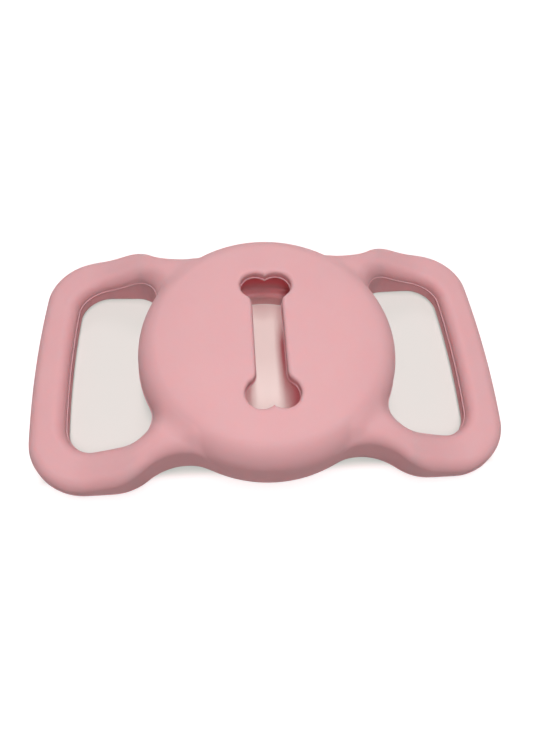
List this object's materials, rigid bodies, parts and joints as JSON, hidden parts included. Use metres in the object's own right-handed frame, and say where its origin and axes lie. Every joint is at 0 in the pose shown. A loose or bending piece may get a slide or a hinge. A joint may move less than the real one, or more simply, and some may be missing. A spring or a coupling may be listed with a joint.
{
  "type": "tracker tag holder",
  "caption": "Soft silicone strap holder: a round domed pocket for a coin-shaped tracker tag, a bone-shaped window in its front wall and a strap loop at each side.",
  "frame": {"origin": "centre of the back, on the surface that the holder lies on: the middle of the bounding box's bottom face", "axes": "+X along the strap towards the right loop, +Y across the strap towards the upper edge, +Z out of the domed front"},
  "size_m": [0.082, 0.0456, 0.0135],
  "materials": {
    "silicone": "matte moulded pink silicone"
  },
  "bodies": {
    "pocket": {"pocket_wall": "silicone", "front_face": "silicone", "retaining_lip": "silicone", "left_upper_web": "silicone", "left_lower_web": "silicone", "right_upper_web": "silicone", "right_lower_web": "silicone"},
    "left_loop": {"left_loop": "silicone"},
    "right_loop": {"right_loop": "silicone"}
  },
  "joints": [
    {"name": "left_loop_flex", "type": "hinge", "parent": "pocket", "child": "left_loop", "pos_m": [-0.0258, 0, 0.0025], "axis": [0, -1, 0], "range_deg": [-20, 45], "stiffness_Nm_per_rad": 0.05, "deforming": ["left_upper_web", "left_lower_web"]},
    {"name": "right_loop_flex", "type": "hinge", "parent": "pocket", "child": "right_loop", "pos_m": [0.0258, 0, 0.0025], "axis": [0, 1, 0], "range_deg": [-20, 45], "stiffness_Nm_per_rad": 0.05, "deforming": ["right_upper_web", "right_lower_web"]}
  ]
}
